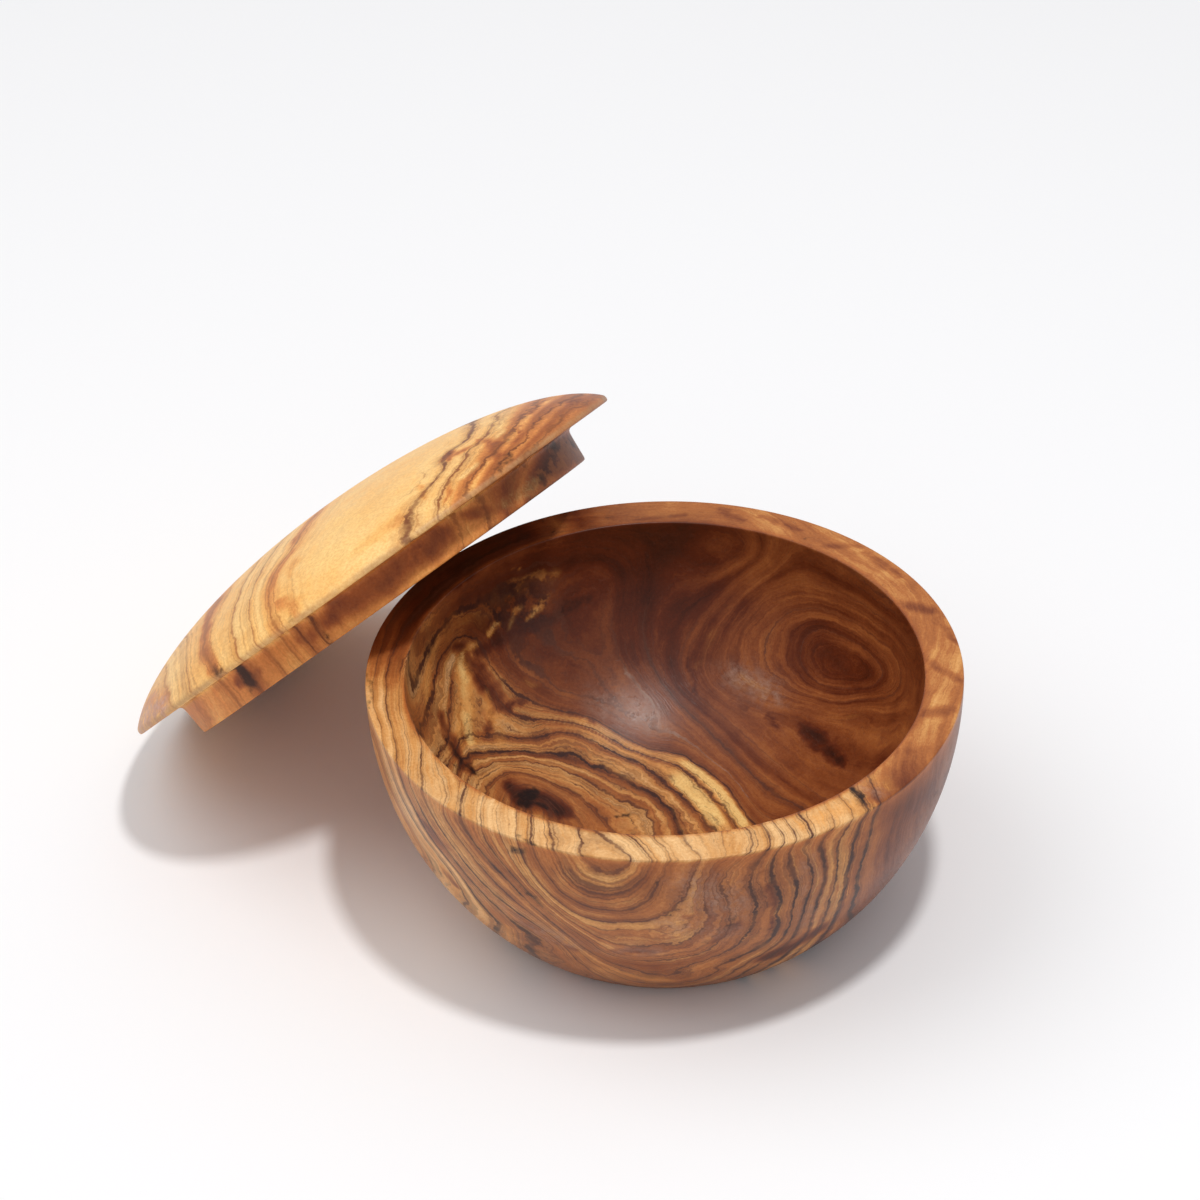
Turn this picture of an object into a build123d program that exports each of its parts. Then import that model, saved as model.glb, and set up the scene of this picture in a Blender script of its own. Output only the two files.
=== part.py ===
from build123d import *
import os
from math import asin, cos, pi, radians, sin, sqrt

# A small turned wooden bowl with a domed lid, in millimetres.
# The origin is the middle of the flat foot and +Z is the bowl's own axis.
# The lid is off: it leans on the bowl's rim, with its lowest edge on the table.

# Bowl
rim_radius = 60.0
bowl_height = 50.6
foot_radius = 38.0
rim_width = 7.9
floor_thickness = 8.0
rim_outer_ease = 0.6
rim_inner_ease = 0.9

# Lid
lid_radius = 60.0
dome_height = 16.4
dome_sink = 5.2
lid_edge_height = 1.2
lid_edge_ease = 0.4
plug_height = 7.3
plug_clearance = 2.6
plug_draft = 0.6
plug_root_ease = 1.2
plug_end_ease = 0.6

# How the lid leans: its tilt from level, the compass side that it leans from,
# and the air left between its plug and the rim
lean_tilt = 46.6
lean_heading = 141.6
lean_gap = 0.2

# Sizes that follow from the ones above
mouth_radius = rim_radius - rim_width
inside_depth = bowl_height - floor_thickness
outside_depth = bowl_height / sqrt(1 - (foot_radius / rim_radius) ** 2)
plug_root_radius = mouth_radius - plug_clearance
plug_end_radius = plug_root_radius - plug_draft
dome_depth = dome_height + dome_sink
dome_radius = lid_radius / sqrt(1 - ((dome_sink + lid_edge_height) / dome_depth) ** 2)


def turned(section):
    """Turn a half section, drawn with X as radius and Y as height, about Z."""
    return revolve(Plane.XZ * section, axis=Axis.Z)


def broken(section, radius, height, into):
    """Cut an upper corner of a half section off at 45 degrees; into points into the wood."""
    corner = Polyline(
        (radius + into, height),
        (radius - into, height - 2 * abs(into)),
        (radius - into, height),
        close=True,
    )
    return section - make_face(corner)


def bowl():
    """Two half ellipses about the middle of the rim, cut off flat at rim and foot."""
    rim_middle = Pos(0, bowl_height)
    outside = rim_middle * Ellipse(rim_radius, outside_depth)
    inside = rim_middle * Ellipse(mouth_radius, inside_depth)
    right_half = Pos(rim_radius, bowl_height / 2) * Rectangle(2 * rim_radius, bowl_height)
    section = (outside & right_half) - inside
    section = broken(section, rim_radius, bowl_height, -rim_outer_ease)
    section = broken(section, mouth_radius, bowl_height, rim_inner_ease)
    return turned(section)


def lid():
    """A thin-edged elliptical dome and, under it, the solid plug that drops into the mouth."""
    # the dome runs from the lid's edge to its top as one curve, an exact piece of an ellipse
    edge_angle = asin((dome_sink + lid_edge_height) / dome_depth)
    half_angle = (pi / 2 - edge_angle) / 2
    pull = cos(half_angle)
    corner_radius = dome_radius / pull * cos(edge_angle + half_angle)
    corner_height = dome_depth / pull * sin(edge_angle + half_angle) - dome_sink
    dome = Bezier(
        (lid_radius, lid_edge_height),
        (corner_radius, corner_height),
        (0, dome_height),
        weights=[1, pull, 1],
    )
    rest = Polyline(
        (0, dome_height),
        (0, -plug_height),
        (plug_end_radius - plug_end_ease, -plug_height),
        (plug_end_radius, plug_end_ease - plug_height),
        (plug_root_radius, -plug_root_ease),
        (plug_root_radius + plug_root_ease, 0),
        (lid_radius - lid_edge_ease, 0),
        (lid_radius, lid_edge_ease),
        (lid_radius, lid_edge_height),
    )
    return turned(make_face([dome] + list(rest.edges())))


def leaning():
    """Where the lid's underside lies when its plug leans on the rim and its edge on the table."""
    tilt = radians(lean_tilt)
    heading = radians(lean_heading)

    def hang(radius, depth):
        # how far a point of the tilted lid, that deep under its underside, is below its middle
        return radius * sin(tilt) + depth * cos(tilt)

    # distance from the origin to the plug's flat end, square to it
    rim_reach = lean_gap + max(
        rim_radius * sin(tilt) + (bowl_height - rim_outer_ease) * cos(tilt),
        (rim_radius - rim_outer_ease) * sin(tilt) + bowl_height * cos(tilt),
    )
    height = max(
        hang(lid_radius - lid_edge_ease, 0),
        hang(lid_radius, -lid_edge_ease),
        hang(plug_end_radius - plug_end_ease, plug_height),
        hang(plug_end_radius, plug_height - plug_end_ease),
    )
    outward = (rim_reach + plug_height - height * cos(tilt)) / sin(tilt)
    side = Vector(cos(heading), sin(heading), 0)
    up = Vector(0, 0, 1)
    return Plane(
        origin=side * outward + up * height,
        x_dir=up * sin(tilt) - side * cos(tilt),
        z_dir=side * sin(tilt) + up * cos(tilt),
    )


os.makedirs("parts", exist_ok=True)
export_step(bowl(), "parts/bowl.step")
export_step(leaning() * lid(), "parts/lid.step")
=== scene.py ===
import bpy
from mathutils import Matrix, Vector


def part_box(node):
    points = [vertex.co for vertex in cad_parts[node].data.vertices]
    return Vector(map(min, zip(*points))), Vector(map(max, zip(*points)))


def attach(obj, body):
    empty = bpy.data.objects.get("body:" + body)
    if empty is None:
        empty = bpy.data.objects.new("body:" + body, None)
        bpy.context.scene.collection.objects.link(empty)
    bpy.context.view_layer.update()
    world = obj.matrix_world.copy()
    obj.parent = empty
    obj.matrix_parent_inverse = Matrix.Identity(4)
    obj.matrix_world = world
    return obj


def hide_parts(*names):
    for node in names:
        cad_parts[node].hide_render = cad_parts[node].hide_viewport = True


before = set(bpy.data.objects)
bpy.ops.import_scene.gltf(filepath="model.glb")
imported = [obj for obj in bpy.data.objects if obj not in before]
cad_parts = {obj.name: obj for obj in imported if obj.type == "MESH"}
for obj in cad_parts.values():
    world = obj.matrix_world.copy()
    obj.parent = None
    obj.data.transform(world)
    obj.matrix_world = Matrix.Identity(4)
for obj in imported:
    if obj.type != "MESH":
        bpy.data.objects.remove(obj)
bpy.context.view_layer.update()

from functools import partial
import bpy
import numpy as np
from mathutils import Matrix, Vector

mm = 0.001


# Colours are given as they should look on screen and turned into Blender's linear ones here
def colour(red, green, blue):
    shown = np.array([red, green, blue]) / 255
    linear = np.where(shown > 0.04045, ((shown + 0.055) / 1.055) ** 2.4, shown / 12.92)
    return (*linear, 1)


# Camera: a long lens from the front, looking down at 37 degrees, its middle a little left of the bowl.
# Its places and lens are in mm, its roll is in degrees and its nearest sight is in metres
cameraSettings = dict(
    place=(0, -832.786, 674.689),
    aim=(-12.921, 24.912, 50.6),
    roll=-1.371,
    lens=155.745,
    sensor=36,
    nearest=0.05,
)


def placeCamera(settings):
    place = Vector(settings["place"]) * mm
    aim = Vector(settings["aim"]) * mm
    lens = bpy.data.cameras.new("photoCamera")
    lens.lens = settings["lens"]
    lens.sensor_width = settings["sensor"]
    lens.clip_start = settings["nearest"]
    camera = bpy.data.objects.new("photoCamera", lens)
    look = (aim - place).to_track_quat("-Z", "Y").to_matrix().to_4x4()
    roll = Matrix.Rotation(np.radians(settings["roll"]), 4, "Z")
    camera.matrix_world = Matrix.Translation(place) @ look @ roll
    bpy.context.scene.collection.objects.link(camera)
    bpy.context.scene.camera = camera


placeCamera(cameraSettings)
bpy.context.scene.view_settings.view_transform = "Standard"
print("camera placed")


# Light: a small lamp almost overhead that draws the shadows, a wide one from the back left, and a pale room
lightSettings = dict(
    lamps=[
        {"name": "keyLamp", "towards": (0.15, -0.16, 1.0), "distance": 1.15, "size": 0.11, "watts": 5.3},
        {"name": "wideLamp", "towards": (-0.55, 0.05, 0.85), "distance": 1.4, "size": 1.3, "watts": 4.6},
    ],
    room=colour(245, 247, 250),
    roomStrength=0.55,
    seenRoom=colour(250, 250, 250),
)


def lightTheScene(settings):
    for given in settings["lamps"]:
        lamp = bpy.data.lights.new(given["name"], "AREA")
        lamp.shape = "DISK"
        lamp.size = given["size"]
        lamp.energy = given["watts"]
        lampObject = bpy.data.objects.new(given["name"], lamp)
        towards = Vector(given["towards"]).normalized()
        lampObject.location = towards * given["distance"]
        lampObject.rotation_euler = towards.to_track_quat("Z", "Y").to_euler()
        lampObject.visible_camera = False
        bpy.context.scene.collection.objects.link(lampObject)
    world = bpy.data.worlds.new("room")
    bpy.context.scene.world = world
    world.use_nodes = True
    tree = world.node_tree
    tree.nodes.clear()
    fill = addNode(tree, "ShaderNodeBackground", Color=settings["room"], Strength=settings["roomStrength"])
    seen = addNode(tree, "ShaderNodeBackground", Color=settings["seenRoom"], Strength=1)
    rays = addNode(tree, "ShaderNodeLightPath")
    pick = addNode(tree, "ShaderNodeMixShader", Fac=rays.outputs["Is Camera Ray"])
    tree.links.new(fill.outputs[0], pick.inputs[1])
    tree.links.new(seen.outputs[0], pick.inputs[2])
    out = addNode(tree, "ShaderNodeOutputWorld")
    tree.links.new(pick.outputs[0], out.inputs["Surface"])


# Adds a node; a keyword names an input, and its value is a plain value or another node's output
def addNode(tree, kind, settings=None, **inputs):
    node = tree.nodes.new(kind)
    for name, value in (settings or {}).items():
        setattr(node, name, value)
    for name, value in inputs.items():
        setInput(tree, node.inputs[name.replace("_", " ")], value)
    return node


def setInput(tree, socket, value):
    if isinstance(value, bpy.types.NodeSocket):
        tree.links.new(value, socket)
    else:
        socket.default_value = value


def sums(tree, operation, *values, clamp=False):
    node = addNode(tree, "ShaderNodeMath", {"operation": operation, "use_clamp": clamp})
    for socket, value in zip(node.inputs, values):
        setInput(tree, socket, value)
    return node.outputs[0]


def times(tree, first, second, clamp=False):
    return sums(tree, "MULTIPLY", first, second, clamp=clamp)


# A value from 0 to 1 made to swing about 0
def swing(tree, value, amount):
    return times(tree, sums(tree, "SUBTRACT", value, 0.5), amount)


def stretch(tree, value, low, high, toLow=0.0, toHigh=1.0, smooth=True):
    kind = "SMOOTHSTEP" if smooth else "LINEAR"
    node = addNode(tree, "ShaderNodeMapRange", {"interpolation_type": kind}, Value=value,
                   From_Min=low, From_Max=high, To_Min=toLow, To_Max=toHigh)
    return node.outputs["Result"]


def blendColours(tree, factor, first, second, kind="MIX"):
    node = addNode(tree, "ShaderNodeMix", {"data_type": "RGBA", "blend_type": kind})
    for place, value in ((0, factor), (6, first), (7, second)):  # the factor and the two colours
        setInput(tree, node.inputs[place], value)
    return node.outputs[2]


def noise(tree, where, scale, detail=2.0, roughness=0.5, dimensions="3D", along=None):
    node = addNode(tree, "ShaderNodeTexNoise", {"noise_dimensions": dimensions},
                   Scale=scale, Detail=detail, Roughness=roughness)
    if along is not None:
        setInput(tree, node.inputs["W"], along)
    if where is not None:
        setInput(tree, node.inputs["Vector"], where)
    return node.outputs["Fac"]


# A number that each whole number keeps for itself
def luckOf(tree, number):
    return addNode(tree, "ShaderNodeTexWhiteNoise", {"noise_dimensions": "1D"}, W=number).outputs["Value"]


# Starts a node group with these sockets; gives its tree and the outputs of its input node
def startGroup(name, inputs, outputs):
    tree = bpy.data.node_groups.new(name, "ShaderNodeTree")
    for side, sockets in (("INPUT", inputs), ("OUTPUT", outputs)):
        for socket, kind in sockets.items():
            tree.interface.new_socket(socket, in_out=side, socket_type="NodeSocket" + kind)
    return tree, tree.nodes.new("NodeGroupInput").outputs


# The helpers above with one tree already given
def toolsFor(tree):
    return [partial(tool, tree) for tool in (sums, times, swing, stretch, blendColours, noise, luckOf)]


lightTheScene(lightSettings)
print("light placed")


# Floor: a pale sheet that reaches past every view, in metres
floorSettings = dict(size=6, tint=colour(250, 249, 249), roughness=0.8, specular=0.1)


def layFloor(settings):
    half = settings["size"] / 2
    mesh = bpy.data.meshes.new("floor")
    corners = [(-half, -half, 0), (half, -half, 0), (half, half, 0), (-half, half, 0)]
    mesh.from_pydata(corners, [], [(0, 1, 2, 3)])
    floor = bpy.data.objects.new("floor", mesh)
    bpy.context.scene.collection.objects.link(floor)
    paper = bpy.data.materials.new("paleFloor")
    paper.use_nodes = True
    shader = paper.node_tree.nodes["Principled BSDF"]
    shader.inputs["Base Color"].default_value = settings["tint"]
    shader.inputs["Roughness"].default_value = settings["roughness"]
    shader.inputs["Specular IOR Level"].default_value = settings["specular"]
    mesh.materials.append(paper)


layFloor(floorSettings)


# How a turned surface is divided: the section's step in mm, how soft its eased corners are, how far round
# a corner the rows crowd together and how close they then lie, both in eases, and how many times wider
# apart they lie on a flat
meshSettings = dict(step=0.04, softness=0.6, crowdReach=2.2, crowdGap=0.22, flatStretch=3)


# The sample of a section that is nearest to a radius and height
def nearest(section, radius, height):
    return np.argmin(np.hypot(section[:, 0] - radius, section[:, 1] - height))


# A turned piece's half section is a row of points (radius, height) with the wood on the left.
# Its corners are softened by a running mean whose width is the corner's ease, in mm
def easeSection(points, corners):
    step = meshSettings["step"]
    path = np.concatenate([[0], np.cumsum(np.hypot(*np.diff(points, axis=0).T))])
    along = np.arange(0, path[-1], step)
    fine = np.stack([np.interp(along, path, points[:, k]) for k in (0, 1)], 1)
    eased = fine.copy()
    for radius, height, ease in corners:
        corner = nearest(fine, radius, height)
        reach = int(4 * ease / step)
        spread = np.arange(-reach, reach + 1) * step / (meshSettings["softness"] * ease)
        kernel = np.exp(-0.5 * spread ** 2)
        kernel /= kernel.sum()
        low, high = corner - 2 * reach, corner + 2 * reach + 1
        part = eased[low:high]
        soft = np.stack([np.convolve(part[:, k], kernel, "same") for k in (0, 1)], 1)
        weight = np.exp(-0.5 * ((np.arange(low, high) - corner) / reach) ** 6)[:, None]
        weight[:reach] = 0
        weight[-reach:] = 0
        eased[low:high] = part * (1 - weight) + soft * weight
    return along, eased


# Rows along the section lie `coarse` apart on the fair stretches, wider on the flat and close at the corners
def pickRows(along, section, corners, coarse, flatTo):
    spacing = np.where(along < flatTo, meshSettings["flatStretch"] * coarse, coarse)
    for radius, height, ease in corners:
        corner = along[nearest(section, radius, height)]
        near = np.exp(-((along - corner) / (meshSettings["crowdReach"] * ease)) ** 2)
        spacing = spacing * (1 - near) + meshSettings["crowdGap"] * ease * near
    rank = np.concatenate([[0], np.cumsum(np.diff(along) / spacing[:-1])])
    rows = np.interp(np.linspace(0, rank[-1], int(rank[-1]) + 1), rank, along)
    return rows[1:-1]


# The surface is (r cos t, r sin t, h) for every row (r, h) and every angle t, with a pole at each end
def turnSection(section, rows, along, columns):
    radius, height = (np.interp(rows, along, section[:, k]) for k in (0, 1))
    angle = np.linspace(0, 2 * np.pi, columns, endpoint=False)
    ring = np.stack([np.outer(radius, np.cos(angle)), np.outer(radius, np.sin(angle)),
                     np.repeat(height[:, None], columns, 1)], -1).reshape(-1, 3)
    points = np.concatenate([ring, [[0, 0, section[0, 1]], [0, 0, section[-1, 1]]]])
    first = np.arange(columns)
    after = (first + 1) % columns
    low = columns * np.arange(len(rows) - 1)[:, None]
    high = low + columns
    quads = np.stack([low + first, low + after, high + after, high + first], -1).reshape(-1, 4)
    last = columns * (len(rows) - 1)
    lowCap = np.stack([np.full(columns, len(ring)), after, first], 1)
    highCap = np.stack([np.full(columns, len(ring) + 1), last + first, last + after], 1)
    sheet = np.concatenate([np.repeat(rows, columns), [along[0], along[-1]]])
    return points, quads.tolist() + lowCap.tolist() + highCap.tolist(), sheet


# Turns a drawn section. Sheet is a point's place along the section, and where is (x, y, z, a share of the
# sheet), so that two walls that are close in space don't bend each other's grain
def turnPiece(drawn, corners, settings, flatTo):
    along, section = easeSection(drawn, corners)
    rows = pickRows(along, section, corners, settings["rowSpacing"], flatTo)
    points, faces, sheet = turnSection(section, rows, along, settings["columns"])
    where = np.column_stack([points, settings["sheetGap"] * sheet])
    return along, section, points, faces, sheet, where


def makePiece(name, points, faces, values):
    mesh = bpy.data.meshes.new(name)
    mesh.from_pydata((points * mm).tolist(), [], faces)
    mesh.shade_smooth()
    for key, value in values.items():
        mesh.attributes.new(key, "FLOAT", "POINT").data.foreach_set("value", value.astype(np.float32))
    piece = bpy.data.objects.new(name, mesh)
    bpy.context.scene.collection.objects.link(piece)
    print(name, "turned:", len(faces), "faces")
    return piece


# Grain: the wood's growth rings are surfaces on which one number, the ring, is whole.
# Away from the lines read from the photograph it is the distance from the pith over the ring width.
# Near them it is bent by a sum of smooth bumps, so that it is each line's own number along that line
grainSettings = dict(
    step=2.6,  # mm between the points of a line
    reach=34.0,  # mm that a line bends the rings around it
    give=0.003,  # how far the rings may miss a line where two disagree
    boldReach=5.0,  # mm that a line's boldness reaches
    boldRings=0.35,  # rings that it reaches
    plainPull=0.02,  # weight of the piece's own boldness against the lines'
    parts=24,  # the surface is worked through in parts, to save memory
)


# Hermite pieces: each runs from point to point, with the slope that its neighbours give it
def smoothLine(points, step):
    points = np.array(points, float)
    before = np.concatenate([[2 * points[0] - points[1]], points[:-1]])
    after = np.concatenate([points[1:], [2 * points[-1] - points[-2]]])
    slope = (after - before) / 2
    parts = []
    for k in range(len(points) - 1):
        count = max(2, int(np.linalg.norm(points[k + 1] - points[k]) / step))
        t = np.arange(count)[:, None] / count
        parts.append((2 * t**3 - 3 * t**2 + 1) * points[k] + (t**3 - 2 * t**2 + t) * slope[k]
                     + (3 * t**2 - 2 * t**3) * points[k + 1] + (t**3 - t**2) * slope[k + 1])
    return np.concatenate(parts + [points[-1:]])


# The points of every line with their ring and boldness; scale makes a group's two measures alike
def readLines(*groups):
    known, ring, bold = [], [], []
    for group, place, scale in groups:
        for lineRing, lineBold, points in group.values():
            drawn = smoothLine(np.reshape(points, (-1, 2)) * scale, grainSettings["step"]) / scale
            known.append(place(drawn))
            ring += [lineRing] * len(drawn)
            bold += [lineBold] * len(drawn)
    return np.concatenate(known), np.array(ring, float), np.array(bold, float)


def pithDistance(where, pith):
    axis = np.array(pith["towards"], float)
    axis /= np.linalg.norm(axis)
    apart = where[:, :3] - pith["through"]
    return np.linalg.norm(apart - np.outer(apart @ axis, axis), axis=1) / pith["ringWidth"]


# How much each first point feels each second one: (1 + d) exp(-d), where d is sqrt 3 times distance over reach
def bump(first, second, reach):
    squared = (first**2).sum(1)[:, None] + (second**2).sum(1)[None] - 2 * first @ second.T
    scaled = np.sqrt(3 * np.maximum(squared, 0)) / reach
    return (1 + scaled) * np.exp(-scaled)


def growGrain(where, lines, pith):
    known, ring, bold = lines
    given = grainSettings
    bend = bump(known, known, given["reach"]) + given["give"] * np.eye(len(known))
    weights = np.linalg.solve(bend, ring - pithDistance(known, pith))
    rings = pithDistance(where, pith)
    boldness = np.zeros(len(where))
    for part in np.array_split(np.arange(len(where)), given["parts"]):
        rings[part] += bump(where[part], known, given["reach"]) @ weights
        near = bump(where[part], known, given["boldReach"])
        sameRing = np.exp(-((rings[part][:, None] - ring[None]) / given["boldRings"]) ** 2)
        pull = near * sameRing
        plain = given["plainPull"]
        boldness[part] = (pull @ bold + plain * pith["bold"]) / (pull.sum(1) + plain)
    return rings, boldness


# Patches: their outline wavers, because the places are first moved by slow sines of (size, rate, start).
# Pointed is how far they narrow to their ends, and ringBlur how softly they stop at a ring
patchSettings = dict(
    waves=((0.6, 0.5, 1.3), (0.4, 1.3, 0.4), (0.25, 3.1, 0)),
    pointed=0.6,
    ringBlur=0.05,
)


# A patch is a lens along a short run on the surface: exp(-(distance from the run / half width there) squared),
# kept to its own rings where it has any. Where patches overlap, the strongest counts
def paint(where, rings, *groups):
    moved = where.copy()
    turned = where[:, [1, 2, 0]]
    moved[:, :3] += sum(size * np.sin(rate * turned + start) for size, rate, start in patchSettings["waves"])
    blur = patchSettings["ringBlur"]
    amount = np.zeros(len(where))
    for patches, place in groups:
        for fromX, fromY, toX, toY, reach, strength, *span in patches.values():
            start, end = place(np.array([(fromX, fromY), (toX, toY)], float))
            run = end - start
            length = np.linalg.norm(run)
            share = np.clip((moved - start) @ run / max(run @ run, 1e-9), 0, 1)
            distance = np.linalg.norm(moved - start - np.outer(share, run), axis=1)
            pointed = patchSettings["pointed"] * length / (length + 2 * reach)
            taper = pointed * (1 - np.sqrt(4 * share * (1 - share)))
            mask = np.exp(-((distance / (reach * (1 - taper))) ** 2))
            if span:
                low, high = span
                mask = mask / (1 + np.exp((low - rings) / blur)) / (1 + np.exp((rings - high) / blur))
            amount = np.maximum(amount, strength * mask)
    return amount


# Two ways to say where something is drawn on a turned surface. Seen from above it is (x, y), on the section
# from the sample firstAbove on. On the wall it is (heading in degrees, mm down from the place topAlong)
def makePlacers(section, along, sheetGap, firstAbove, topAlong):
    def lay(x, y, spotAlong):
        return np.column_stack([x, y, np.interp(spotAlong, along, section[:, 1]), sheetGap * spotAlong])

    def seenAbove(points):
        inward = section[firstAbove:, 0]
        order = np.argsort(inward)
        radius = np.hypot(points[:, 0], points[:, 1])
        return lay(points[:, 0], points[:, 1], np.interp(radius, inward[order], along[firstAbove:][order]))

    def onWall(points):
        heading = np.radians(points[:, 0])
        spotAlong = topAlong - points[:, 1]
        radius = np.interp(spotAlong, along, section[:, 0])
        return lay(radius * np.cos(heading), radius * np.sin(heading), spotAlong)

    return seenAbove, onWall


# Reads a curve that is given as {spot: value}
def curve(spots, given):
    return np.interp(spots, list(given), list(given.values()))


# Climbs from 0 to 1 over width, beginning at start
def climb(spots, start, width):
    return np.clip((spots - start) / width, 0, 1)


# Bowl, in mm
bowlSettings = dict(
    rimRadius=59.97,
    height=50.6,
    footRadius=38.0,
    rimWidth=7.87,
    floorThickness=8.0,
    outerEase=0.36,
    innerEase=0.4,
    footEase=0.5,
    rowSpacing=0.62,
    columns=360,
    sheetGap=0.6,
    mouthBlend=0.3,
    rimBlend=0.25,
    wornReach=2.6,
    wornMouth=0.6,
    wornMouthReach=0.35,
)


# Both walls are half ellipses about the middle of the rim: r = R sqrt(1 - (drop / depth) squared)
def bowlSection(s):
    foot, rim, top = s["footRadius"], s["rimRadius"], s["height"]
    mouth = rim - s["rimWidth"]
    outsideDepth = top / np.sqrt(1 - (foot / rim) ** 2)
    insideDepth = top - s["floorThickness"]
    turn = np.linspace(np.arcsin(top / outsideDepth), 0, 240)
    outside = np.stack([rim * np.cos(turn), top - outsideDepth * np.sin(turn)], 1)
    turn = np.linspace(0, np.pi / 2, 300)
    inside = np.stack([mouth * np.cos(turn), top - insideDepth * np.sin(turn)], 1)
    section = np.concatenate([[[0, 0]], outside, inside])
    corners = [(foot, 0, s["footEase"]), (rim, top, s["outerEase"]), (mouth, top, s["innerEase"])]
    return section, corners


# Grain lines of the bowl, each (ring, boldness, [x, y, x, y, ...]).
# Inside and rim: mm as seen from above. Outside: heading in degrees, mm below the rim
bowlInside = dict(
    knotHeart=(2, 0.3, [-29.5, 4, -26.5, 5.5]),
    knotRing=(3, 0.35, [-33, 2, -31, 7, -27, 9.5, -22, 8.5, -19, 5, -17.5, 2]),
    knotArch=(4, 0.45, [-36.5, 2, -34, 8, -29, 11.5, -22, 11, -16, 9, -13, 5.5, -12, 2]),
    innerArch=(5, 0.5, [-39.5, 4, -36, 9.5, -31, 14, -25, 15.5, -18, 15.5, -11, 12, -6, 9, -3, 4.5, -2, 1.5]),
    mainArch=(6, 1, [-42, 5, -38.5, 10.5, -34, 13.8, -30, 16, -25, 17.8, -19, 19.3, -14, 18, -9, 16.2,
        -5.5, 15.5, -2, 13, 0.7, 9, 2.2, 5, 2.8, 1.5]),
    wavyArch=(7, 0.75, [-43, 7, -40, 13, -34, 18, -29, 20, -25, 22, -22.5, 24.3, -18, 25.2, -16, 23.7,
        -13.5, 24, -10.5, 21.6, -7.5, 22, -4.7, 20, -2, 17.5, 0.5, 15, 3, 12.5, 5, 10, 7, 6, 9.5, 2]),
    thinArch=(8, 0.7, [-31, 24, -25, 25.5, -19, 26.8, -13, 26, -8, 24.3, -3, 22.3, 0, 21.3, 2.5, 20.3, 5, 18,
        7.2, 15, 9.5, 11.5, 11.5, 7.5, 13, 4, 14.3, 1.5]),
    leftWall=(8, 0.8, [-43.6, 6.5, -44.7, 10, -44.6, 13.5, -44.2, 17, -43.8, 20]),
    leftWallTop=(8, 0.1, [-43.3, 23, -42, 26, -39.5, 27.5, -36, 25.5]),
    brownEdge=(9, 0.75, [-48.5, 5, -47.5, 14, -45, 22, -40.5, 29, -33, 29, -27, 28.2, -21, 28.4, -15, 28.4,
        -10.5, 26.3, -6, 24.3, -2, 23.2, 2.5, 22.5, 6.5, 20.2, 9, 17.7, 11.7, 15, 13.5, 12, 15, 8.5, 16.5, 5,
        17.8, 1.5]),
    scratchLine=(10, 0.35, [-9.5, 49, -10.6, 44, -9, 40, -5, 36, -1, 31.7, 4, 26.5, 8, 21.7, 11.5, 17.8,
        14.5, 13, 17, 8, 19, 4.5, 21, 1.5]),
    backLeft=(10, 0.85, [-50.5, 8, -48.6, 17, -44, 27, -37, 35.5, -27.5, 43, -17, 48]),
    farStreak=(11, 0.6, [-2.6, 50, -4, 45.5, -3.6, 41.5, -2, 38.5, 0.5, 35.5, 3.5, 32.3, 8, 28, 12, 23.5,
        16.5, 17.5, 20, 12, 24.5, 5.5, 28, 1.3]),
    outerLoop=(12, 0.3, [22, 46.5, 15, 47.5, 8.5, 45.7, 4.8, 42.5, 4.2, 38.5, 6, 35, 10.5, 31, 15.5, 26,
        20.5, 19.5, 25.5, 12, 32, 1.3]),
    blueStreak=(13, 0.12, [26, 44.8, 21, 46, 15.5, 45.4, 11, 43.2, 9, 40.5, 9, 37.5, 11.5, 34.5, 16, 31, 22, 26,
        28, 19, 31.5, 14.5, 34.7, 9.5, 38.5, 3.5]),
    paleLoop=(14, 0.15, [26, 43.6, 20, 44.8, 15.5, 43.3, 13, 40.5, 12.8, 37.5, 15.5, 34, 22.5, 29.3, 28.5, 25.2,
        34, 20.3, 39, 14.8, 43, 9.3, 48, 3]),
    eyeOuter=(15, 0.05, [49.5, 6, 45.5, 12, 41, 17.5, 35, 22, 29, 27, 23, 31, 18.5, 34.5, 16.8, 38, 18, 41.5,
        21.5, 43.2, 27, 41.8, 33, 38.2, 39.5, 32, 45, 24, 48.3, 16.5, 49.8, 10]),
    eyeMiddle=(17, 0.05, [46.3, 14.5, 41, 19.5, 35, 24, 29.5, 29, 26, 33.5, 25.7, 37.3, 28.8, 38.7, 34, 35.6,
        39.5, 30, 43.8, 23.5, 46.5, 17.8]),
    eyeInner=(19, 0.05, [42, 20.5, 37.5, 25, 33, 29.5, 31.5, 33, 34, 33, 38.5, 28.5, 42, 23.2]),
)
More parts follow.
